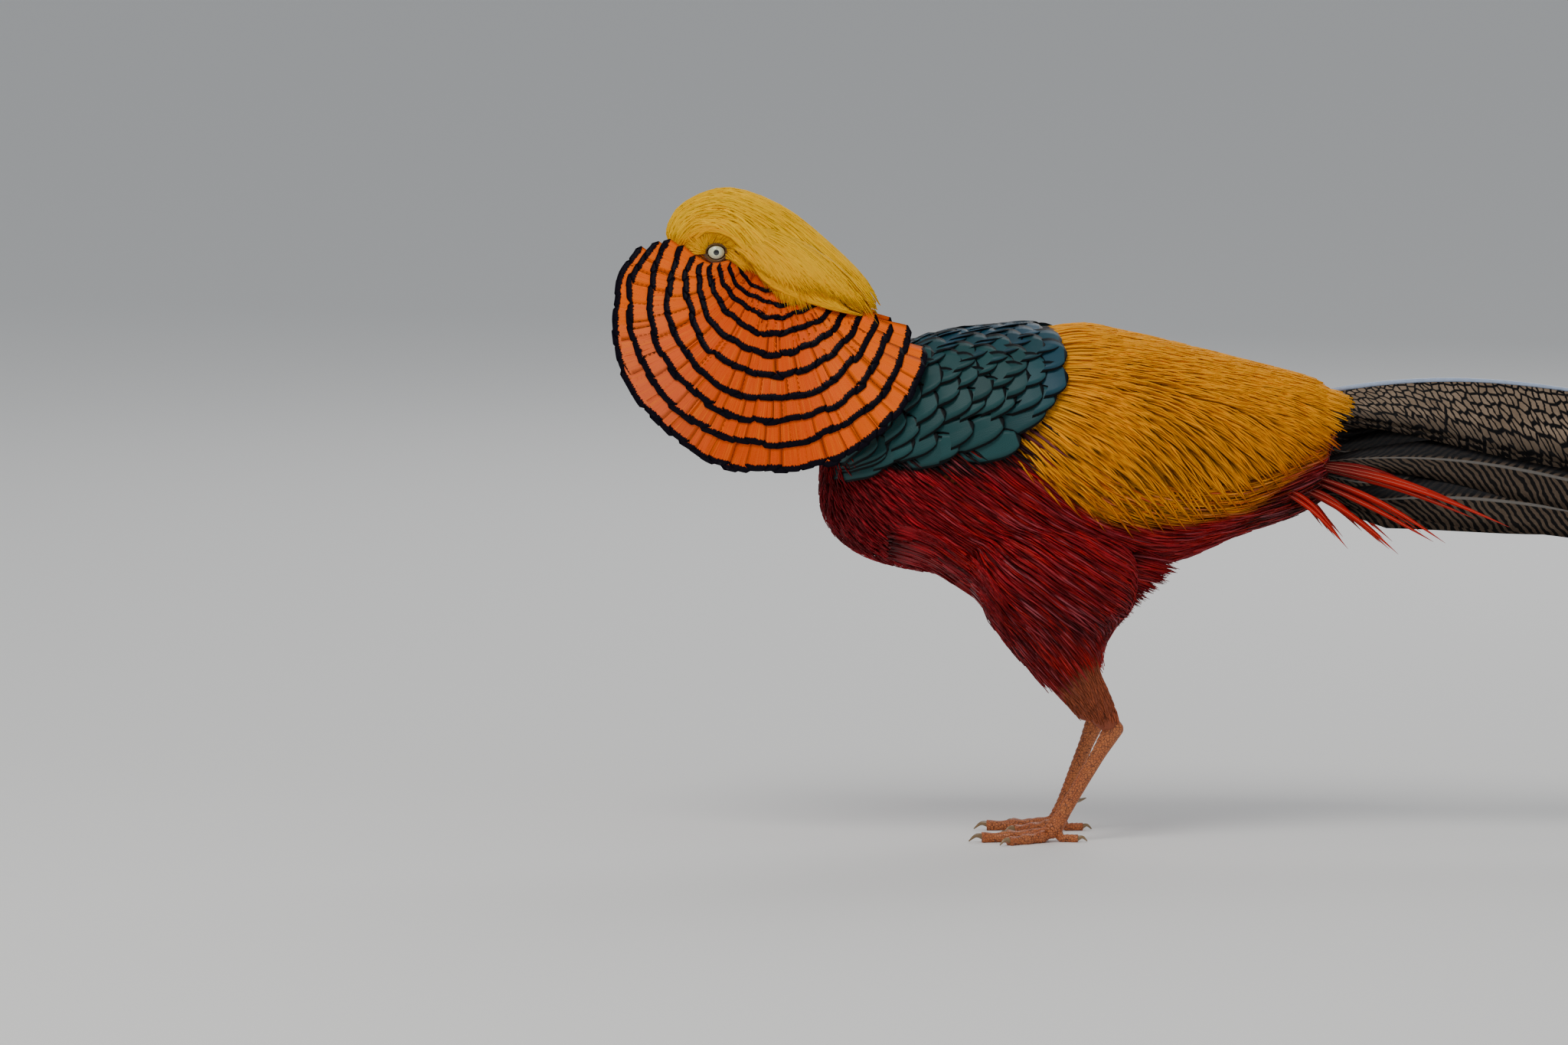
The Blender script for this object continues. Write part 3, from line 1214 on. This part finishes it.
def make_face():
    """Small feathers of the face, chin and throat, left off round the eye and the bill's root."""

    def weight(p):
        from_eye = np.hypot(p[:, 0] - EYE[0], p[:, 2] - EYE[2])
        keep = smooth(from_eye, 6.5, 8.5) + (np.abs(p[:, 1]) < 5)
        return np.minimum(keep, 1) * (p[:, 0] < -120) * (p[:, 2] > 236) * (p[:, 0] > -221)

    def way(p):
        return angled(mix(8, 48, smooth(-p[..., 2], -350, -330)))

    count = 5200
    roots = scattered(count, weight)
    x, y, z = roots.T
    far = smooth(x, -205, -165)
    length = mix(4.2, 11, far) * chance.uniform(0.8, 1.2, count)
    path, up = laid(roots, way, length, 4, -0.2, mix(0.5, 1.8, far))
    half = np.outer(chance.uniform(0.5, 0.8, count) * mix(0.8, 1.7, far), pointed(4, 0.7))
    tint = mix(mix(YELLOW, AMBER, 0.5), FACE_TAN, smooth(y, -6, 2)[:, None])
    tint = mix(tint, YELLOW * 0.9, smooth(z + 0.1 * x, 336, 344)[:, None])
    tint = varied(mix(tint, RUST, smooth(-z, -335, -320)[:, None]), count)
    made = batch(path, up, half, 0.3, tint, coat_uv(roots), roll=rolled(count))
    material = plumage("Tan_face", 0.5, 6, 0.2, 0.8, 0.2, dark=0.15)
    joined("face_feathers", [made], material)


# Wings, folded and mostly under the rump's plumes

WING_TIERS = (
    # root and tip along the wing, first and last across it, height, number, half width, colour
    (0.34, 0.84, 0.0, 0.6, -1.9, 7, 3.6, WING_BROWN),
    (0.24, 0.72, -0.8, 0.55, -3.0, 8, 5.0, WING_BROWN * 0.9),
    (0.14, 0.56, -0.85, 0.85, -2.7, 9, 5.0, WING_BLUE),
    (0.06, 0.42, -0.8, 0.85, -2.4, 9, 4.8, WING_RUST),
    (-0.02, 0.28, -0.75, 0.8, -2.1, 8, 4.6, WING_RUST * 1.2),
    (-0.06, 0.15, -0.6, 0.7, -1.8, 6, 4.4, WING_RUST),
)


def wing_pattern(base, across, along, vary):
    """Faint darker bars and a pale edge on the wing feathers."""
    off = across.maths("ABSOLUTE")
    wave = ((along + off * 0.05) * 40.0).maths("SINE")
    bars = blended(wave.ramp(-0.2, 0.4) * 0.75, base, (0.12, 0.1, 0.1), "MULTIPLY")
    return blended(off.ramp(0.86, 0.94) * 0.3, bars, linear("b08a5c"))


def make_wing(side, word):
    t = np.linspace(0, 1, 14)
    batches = []
    for root, tip, first, last, top, count, wide, colour in WING_TIERS:
        v0 = np.linspace(first, last, count)
        end = tip - (0.04 * np.arange(count) if root > 0.3 else 0.03 * chance.random(count))
        u = root + (end - root)[:, None] * t
        v = v0[:, None] * mix(0.72, 1.0, t)
        lift = np.broadcast_to(mix(-3.0, top, smooth(t, 0, 0.7)), v.shape)
        flip = np.array([1, -side, 1])
        path, out = wing_at(u, v, lift) * flip, facing(wing_at, u, v) * flip
        half = np.outer(np.full(count, wide), rounded(t, 0.5, 0.22))
        place = np.full(count, 0.05 + 0.4 * (root + 0.1) + 0.5 * (side > 0))
        uv = np.stack([place, 0.5 + 0.4 * v0], -1)
        tint = varied(colour, count)
        batches.append(batch(path, out, half, 0.35, tint, uv, BLADE, 0.08, roll=0.1 * side))
    material = plumage(
        "Wing_" + word, 0.45, 40, 0.3, 0.3, 0.25, 0.0003, shine=0.1, dark=0.3, shaft="2a1a10",
        pattern=wing_pattern,
    )
    joined("folded_wing_" + word, batches, material, ["wing_" + word])


# Tail: two broad feathers folded over a ridge like a roof, and narrower ones below them on each side

TAIL_ROOT = np.array([152.0, 6.0, 265.0])
TAIL_LENGTH = 620
UNDER_LENGTH = 577
SIDE_LENGTH = 500
TAIL_SLOPE = {LEFT: np.array([0, -0.42, -0.907]), RIGHT: np.array([0, 0.62, -0.785])}
ROOF_DROP = np.array([0, 0.22, -1.9])
# Degrees downwards, distance below the ridge and length of the side feathers
TAIL_RANKS = ((4, 17, 520), (5.1, 41, 410), (1.5, 70, 310), (4, 56, 225), (9, 63, 160))
# Root and tip of the scarlet coverts: X, Z and distance from the middle plane
SIDE_COVERTS = (
    ((134, 212, 24), (176, 177, 33)),
    ((146, 213, 20), (206, 174, 35)),
    ((154, 220, 19), (234, 181, 38)),
    ((158, 226, 22), (272, 191, 42)),
)
tail_pitch = profile((0, 12), (60, 4), (130, -6), (220, -13), (400, -18), (620, -21))
middle_depth = profile((0, 12), (0.22, 45), (0.55, 42), (0.82, 27), (1, 3))


def tail_ridge_line(steps=20):
    points = [TAIL_ROOT]
    for i in range(steps):
        way = angled(-tail_pitch((i + 0.5) * TAIL_LENGTH / steps))
        points.append(points[-1] + way * TAIL_LENGTH / steps)
    return curve(*points)


tail_ridge = tail_ridge_line()


def roof_at(side, s, down):
    """A point on one slope of the tail, and the direction out of it."""
    t = np.clip(np.asarray(s, float) / TAIL_LENGTH, 0, 1)
    ahead = unit(tail_ridge(np.minimum(t + 0.005, 1)) - tail_ridge(np.maximum(t - 0.005, 0)))
    out = unit(np.cross(ahead, TAIL_SLOPE[side]) * side)
    return tail_ridge(t) + np.asarray(down)[..., None] * TAIL_SLOPE[side], out


def spotted(base, across, along, vary):
    """Buff spots on black by the shaft, drawn out to slanting streaks towards the edge."""
    half = 45.0
    along, across = along * TAIL_LENGTH, across * half
    off = across.maths("ABSOLUTE")
    lean = (off * (1 / half)).maths("POWER", 1.3) * 24.0
    wavy = noise(vector(base.tree, along, across), 0.22, 4.0)
    shaken = (wavy - 0.5) * 3.0 + (along - lean)
    down = off.maths("MAXIMUM", 0.001).maths("POWER", 0.7) * 0.42
    values = {"Vector": vector(base.tree, shaken * 0.25, down), "Scale": 1.0, "Randomness": 0.75}
    kind = {"feature": "DISTANCE_TO_EDGE", "voronoi_dimensions": "2D"}
    cell = node(base.tree, "ShaderNodeTexVoronoi", values, "Distance", **kind)
    spot = cell.ramp(0.1, 0.19) * (off.ramp(26.0, 40.0) * -0.55 + 1.0)
    shade = noise(vector(base.tree, along, across, 3.0), 0.06)
    return blended(spot, linear("0b0a0c"), blended(shade, linear("5e4c3c"), linear("a48f7a")))


def barred(base, across, along, vary):
    """Slanting wavy bars of black and grey brown, with the upper vane nearly black."""
    along, across = along * SIDE_LENGTH, across * 19.0
    wavy = noise(vector(base.tree, along, across, vary * 40.0), 0.09)
    wave = ((along - across.maths("ABSOLUTE") * 0.9 + wavy * 9.0) * 1.15).maths("SINE")
    bars = blended(wave.ramp(-0.25, 0.25), linear("0d0b0b"), linear("54463a"))
    return blended(across.ramp(-1.0, -4.0) * 0.85, bars, linear("1c1d20"))


def covert_pattern(base, across, along, vary):
    """Scarlet with darker roots."""
    return blended(along.ramp(0.05, 0.5), linear("5e0d0c"), base)


def middle_feather(length, under):
    """A broad feather folded over the ridge, as one closed sheet, under others by a number of layers."""
    t = np.linspace(0, 1, 90)
    half = np.array([0.08, 0.25, 0.45, 0.65, 0.85, 1])
    edge = np.concatenate([-half[::-1], [0], half])
    rings, across = [], []
    for face, places in ((1, edge), (-1, edge[::-1][1:-1])):
        for c in places:
            share = abs(c)
            down = middle_depth(t) * share * (1 if c > 0 else 0.8)
            p, out = roof_at(LEFT if c > 0 else RIGHT, t * length, down)
            thick = max(0.3 * (1 - share), 0.12) * face
            if c == 0:
                out = np.broadcast_to([0, 0.2, 1.0], out.shape)
                thick = 0.9 * face
            bow = 3.0 * np.sin(np.pi * share) * smooth(t, 0.02, 0.2)[:, None]
            rings.append(p + ROOF_DROP * under + out * (thick + bow))
            across.append(c)
    points = np.stack(rings[::-1], 1)[None]
    across = np.array(across[::-1])
    vane = np.broadcast_arrays(across[None, None], t[None, :, None] * length / TAIL_LENGTH, 0.3)
    uv = np.broadcast_arrays(0.02 + 0.9 * t[:, None], 0.5 + 0.4 * across[None])
    return points, WING_BROWN, np.stack(vane, -1), np.stack(uv, -1)[None]


def side_feathers(side):
    share = 1 if side == LEFT else 0.65
    t = np.linspace(0, 1, 40)
    batches = []
    for rank, (fall, lower, length) in enumerate(TAIL_RANKS):
        drop = math.tan(math.radians(fall * share))
        along = t * length / math.hypot(1, drop)
        path, out = roof_at(side, along, lower * share + along * drop)
        path = path - out * 1.4 * (rank + 2)
        if rank > 1:
            path = path + [0, 0, 9] * (1 - smooth(t, 0, 0.16))[:, None]
        half = (20 - rank / 2) * np.minimum(0.08 + 3 * t, 1) * np.maximum(1 - t**3.2, 0.03)
        uv = np.array([[0.1 + 0.15 * rank, 0.25 if side == LEFT else 0.75]])
        made = batch(path[None], out[None], half[None], 0.4, WING_BROWN[None], uv, BLADE, 0.05)
        made[2][..., :2] *= [side, length / SIDE_LENGTH]
        batches.append(made)
    return batches


def covert_batches():
    t = np.linspace(0, 1, 16)
    batches = []
    for side, spread in ((LEFT, 1), (RIGHT, 1.25)):
        for n, (root, tip) in enumerate(SIDE_COVERTS):
            for extra in range(5):
                shift = chance.normal(0, 1.2) * (extra > 0)
                short = 1 - 0.09 * extra
                x = root[0] + (tip[0] - root[0]) * short * t
                y = mix(root[2], tip[2] * spread, np.sin(np.pi / 2 * t * short)) - 0.8 * extra
                z = root[1] + (tip[1] - root[1]) * short * t + (5 + shift) * np.sin(np.pi * t) + shift
                path = np.stack([x, side * y, z], -1)[None]
                up = np.broadcast_to([0, side, 0.15], path.shape)
                half = (1.5 + 0.15 * n) * np.minimum(0.5 + 1.5 * t, 1) * np.maximum(1 - t**3, 0.05)
                tint = SCARLET[None] * (0.9 - 0.13 * extra)
                uv = np.array([[0.1 + 0.2 * n, 0.3 + 0.4 * (side > 0)]])
                batches.append(batch(path, up, half[None], 0.35, tint, uv, BLADE, 0.15))
    return batches


def make_tail():
    top = plumage("Spotted_tail", 0.38, 220, 0.08, 0.2, 0.2, 0.0003, shine=0.1, dark=0.1, pattern=spotted)
    sides = plumage(
        "Barred_tail", 0.45, 120, 0.1, 0.3, 0.25, 0.0003, shine=0.1, dark=0.2, shaft="6c6762", pattern=barred
    )
    middle = [middle_feather(TAIL_LENGTH, 0), middle_feather(UNDER_LENGTH, 1.4)]
    joined("tail_middle_feathers", middle, top, ["tail"])
    joined("tail_side_feathers", side_feathers(LEFT) + side_feathers(RIGHT), sides)
    a = turns(8)
    ring = np.stack([np.zeros(8), np.cos(a), np.sin(a)], -1)
    places = zip(np.linspace(0.01, 0.99, 60), np.linspace(1.5, 0.3, 60))
    shaft = lofted([tail_ridge(t) + np.array([0, 0.2, 0.9]) + radius * ring for t, radius in places])
    quill, tree = new_material("Blue_grey_shaft", 0.3)
    grey = linear("a3b2cc")
    quill = coloured(quill, blended(noise(object_place(tree), 300.0), grey * 0.7, grey * 1.2))
    finished("tail_shaft", as_mesh(shaft), quill)
    coverts = covert_batches()
    scarlet = plumage(
        "Scarlet_coverts", 0.35, 40, 0.5, 0.4, 0.25, 0.0003, shine=0.15, dark=0.25, shaft="c88a70",
        pattern=covert_pattern,
    )
    joined("scarlet_tail_coverts", coverts, scarlet)


# Legs and feet

TOES = (
    # turn from straight ahead, length, half thickness, height of the root, claw
    ("inner", -30, 31, 3.5, 6, 9),
    ("middle", 4, 43, 3.9, 7, 10.5),
    ("outer", 36, 33, 3.5, 6, 9),
    ("hind", 172, 15, 2.9, 12, 6.5),
)
SCUTE = 2.4  # length of a plate on the toes
ANKLE_Z = 7
shank_size = profile((0, 1.45), (0.15, 1.2), (0.3, 0.98), (0.8, 0.94), (1, 1.25))


def leg_material():
    material, tree = new_material("Leg_skin", 0.45)
    place = object_place(tree)
    values = {"Vector": place, "Scale": 620.0}
    cell = node(tree, "ShaderNodeTexVoronoi", values, "Distance", feature="DISTANCE_TO_EDGE")
    crease = cell.ramp(0.0, 0.12)
    skin = blended(noise(place, 90.0, 4.0), linear("a8481c"), linear("cf8044"))
    return coloured(material, blended(crease, linear("5c2710"), skin), crease, 0.5, 0.0004)


def flattened(bm):
    """Presses what lies below the floor up to it."""
    for vert in bm.verts:
        vert.co.z = max(vert.co.z, 0)
    return bm


def shank_rings(side):
    top = np.array([HOCK_X[side], side * 27, HOCK_Z])
    foot = np.array([FOOT_X[side], side * STANCE, ANKLE_Z])

    def size(t):
        return shank_size(t) * math.sqrt(max(1 - max(1 - t / 0.07, 0) ** 2, 0.04))

    return tube(
        curve(top + [3, 0, 5], mix(top, foot, 0.5), foot), lambda t: 4.4 * size(t), lambda t: 3.7 * size(t),
        around=24, stations=152, scutes=19, relief=0.45, front=math.pi,
    )


def toe_rings(side, turn, length, thick, root, claw):
    """The rings of a toe with its pads, and those of its claw."""
    way = np.array([-math.cos(math.radians(turn)), side * math.sin(math.radians(turn)), 0])
    foot = np.array([FOOT_X[side], side * STANCE, 0])
    low = thick - 0.7
    waves = 3 if length > 20 else 1
    scutes = int(length / SCUTE)

    def at(share, z):
        return foot + way * share * length + np.array([0, 0, z])

    def pads(t):
        return thick * (1 + 0.11 * np.cos(2 * np.pi * t * waves) - 0.22 * t)

    toe = tube(
        curve(at(0, root), at(0.28, low + 0.8), at(0.62, low), at(1, low - 0.4)),
        pads, lambda t: 1.05 * pads(t), around=20, stations=scutes * 8, scutes=scutes, relief=0.32,
    )
    start = at(0.94, thick - 0.9)
    tip = start + way * claw
    tip[2] = 0.7
    bend = start + way * claw * 0.55 + np.array([0, 0, 1.1])
    nail = tube(
        curve(start, bend, tip), lambda t: mix(thick * 0.62, 0.35, t**0.8),
        lambda t: mix(thick * 0.5, 0.3, t**0.8), around=14, stations=16,
    )
    return toe, nail


def make_leg(side, word, skin, horn):
    toes, claws = zip(*(toe_rings(side, *toe[1:]) for toe in TOES))
    leg = as_mesh(flattened(lofted(shank_rings(side), *toes)))
    finished("leg_" + word, leg, skin, ["shank_" + word, "foot_" + word])
    names = ["claw_%s_%s" % (word, toe[0]) for toe in TOES]
    finished("claws_" + word, as_mesh(flattened(lofted(*claws))), horn, names)
    at = np.array([mix(FOOT_X[side], HOCK_X[side], 0.3), side * STANCE, mix(ANKLE_Z, HOCK_Z, 0.3)])
    out = unit(np.array([0.72, -side * 0.62, -0.1]))
    line = curve(at, at + out * 6, at + out * 12 + [0, 0, 1.5])
    spur = tube(line, lambda t: mix(2.4, 0.35, t), lambda t: mix(2.4, 0.35, t), around=16, stations=16)
    finished("spur_horn_" + word, as_mesh(lofted(spur)), horn, ["spur_" + word])


# Bill and eyes

BILL_DROP = math.radians(14)
NOSTRIL_X = -225.5
NOSTRIL_Z = 354.6


def bill_rings(length, top, bottom, wide, hook, shift=(0, 0, 0), around=28, stations=30):
    ahead = np.array([-math.cos(BILL_DROP), 0, -math.sin(BILL_DROP)])
    up = np.array([ahead[2], 0, -ahead[0]])
    a = turns(around)
    rings = []
    for i in range(stations + 1):
        t = i / stations
        middle = np.array([-215.5, 0, 355]) + ahead * t * length - up * hook * t * t + np.array(shift)
        reach = np.where(np.cos(a) > 0, top(t), bottom(t)) * np.cos(a)
        rings.append(middle + np.outer(reach, up) + np.outer(wide(t) * np.sin(a), [0, 1, 0]))
    return rings


def make_bill():
    horn = horn_material("Bill_horn", "a8935a", "d9cf9a")
    upper = lofted(bill_rings(
        24, lambda t: 5.6 * math.sqrt(1 - 0.94 * t), lambda t: 0.9 * (1 - 0.4 * t),
        lambda t: 4.2 * (1 - 0.84 * t**1.4), 4.6,
    ))
    lower = lofted(bill_rings(
        18, lambda t: 0.4, lambda t: 3.4 * math.sqrt(1 - 0.9 * t),
        lambda t: 3.5 * (1 - 0.8 * t**1.5), 1.6, (0.9, 0, -2.0),
    ))
    for vert in upper.verts:
        x, _, z = np.array(vert.co) * 1000 - [SHIFT, 0, 0]
        pit = math.exp(-(((x - NOSTRIL_X) / 1.9) ** 2) - ((z - NOSTRIL_Z) / 0.9) ** 2)
        vert.co.y *= 1 - 0.3 * pit
    finished("bill_upper_horn", as_mesh(upper), horn, ["bill_upper"])
    finished("bill_lower_horn", as_mesh(lower), horn, ["bill_lower"])


def eye_material(word, centre):
    """A pale iris round a small dark pupil, in an oval opening, by millimetres from the line of sight."""
    material, tree = new_material("Eye_" + word, 0.06, Coat_Weight=1.0, Coat_Roughness=0.02)
    place = object_place(tree)
    x, _, z = node(tree, "ShaderNodeVectorMath", {0: place, 1: centre}, operation="SUBTRACT").parts()
    x2 = (x * 1000.0).maths("POWER", 2.0)
    z2 = (z * 1000.0).maths("POWER", 2.0)
    pupil = (x2 + z2).maths("SQRT").ramp(1.85, 1.6)
    opening = (z2 * 1.7 + x2).maths("SQRT")
    iris = blended(noise(place, 1400.0), linear("dfe6ae"), linear("f8fbdc"))
    rim = blended(opening.ramp(5.4, 6.2), linear("241a12"), linear("a87838"))
    iris = blended(opening.ramp(4.75, 5.05), iris, rim)
    return coloured(material, blended(pupil, iris, (0.004, 0.004, 0.004)))


def make_eye(side, word):
    middle = EYE * [1, side, 1]
    bm = bmesh.new()
    bmesh.ops.create_uvsphere(bm, u_segments=48, v_segments=32, radius=EYE_RADIUS * 0.001)
    bmesh.ops.translate(bm, verts=bm.verts, vec=Vector(metres(middle)))
    finished("eyeball_" + word, as_mesh(bm), eye_material(word, metres(middle)), ["eye_" + word])
    rings = []
    b = turns(10)
    for a in turns(48):
        rim = np.array([6.1 * math.cos(a), 0, 5.4 * math.sin(a)])
        corner = 1 + 0.16 * abs(math.cos(a)) ** 8
        fold = 0.95 + 0.1 * math.sin(9 * a)
        ring = middle + rim * corner + np.array([0, side * 3.9, 0])
        rings.append(ring + np.outer(fold * np.cos(b), unit(rim)) + np.outer(1.05 * np.sin(b), [0, side, 0]))
    lid = horn_material("Lid_skin_" + word, "4a3214", "8a6224", 0.6)
    finished("lids_" + word, as_mesh(lofted(rings, looped=True)), lid)


# Floor, light and camera


def make_floor():
    bm = bmesh.new()
    bmesh.ops.create_grid(bm, x_segments=2, y_segments=2, size=12)
    mesh = bpy.data.meshes.new("floor")
    bm.to_mesh(mesh)
    bm.free()
    floor = bpy.data.objects.new("floor", mesh)
    bpy.context.scene.collection.objects.link(floor)
    material = new_material("Pale_floor", 0.85)[0]
    shader = material.node_tree.nodes["Principled BSDF"]
    shader.inputs["Base Color"].default_value = (0.9, 0.89, 0.87, 1)
    mesh.materials.append(material)


def placed(name, data, place, target):
    """An object at a place, turned so that it looks at a target."""
    made = bpy.data.objects.new(name, data)
    made.location = place
    made.rotation_mode = "QUATERNION"
    made.rotation_quaternion = (Vector(target) - Vector(place)).to_track_quat("-Z", "Y")
    bpy.context.scene.collection.objects.link(made)
    return made


def make_light(name, place, power, size, colour=(1, 1, 1)):
    data = bpy.data.lights.new(name, "AREA")
    data.energy = power
    data.size = size
    data.color = colour
    placed(name, data, place, (-0.2, 0, 0.22))


def make_studio():
    make_floor()
    world = bpy.data.worlds.new("Studio")
    world.use_nodes = True
    world.node_tree.nodes["Background"].inputs[0].default_value = (0.86, 0.9, 0.95, 1)
    world.node_tree.nodes["Background"].inputs[1].default_value = 0.42
    bpy.context.scene.world = world
    make_light("key", (-1.2, -1.6, 2.6), 44, 1.4, (1, 0.98, 0.94))
    make_light("fill", (1.8, -2.2, 1.2), 10, 2.4)
    make_light("back", (0.6, 2.2, 1.8), 22, 1.8)


def make_camera():
    """The photograph's framing: 942 mm across, from a long way off and a little above."""
    sensor, distance, rise = 36, 8.0, math.radians(5.5)
    target = Vector(metres([-161.5, 0, 189.75]))
    data = bpy.data.cameras.new("camera")
    data.sensor_width = sensor
    data.lens = sensor * distance / 0.942
    data.clip_end = 100
    place = target + distance * Vector((0, -math.cos(rise), math.sin(rise)))
    bpy.context.scene.camera = placed("camera", data, place, target)


make_studio()
make_camera()
make_skin()
make_rump()
make_flanks()
make_thighs()
make_mantle()
make_ruff()
make_crest()
make_cheeks()
make_face()
leg_skin = leg_material()
claw_horn = horn_material("Claw_horn", "5c452c", "a08258")
for side, word in ((LEFT, "left"), (RIGHT, "right")):
    make_wing(side, word)
    make_leg(side, word, leg_skin, claw_horn)
    make_eye(side, word)
make_tail()
make_bill()
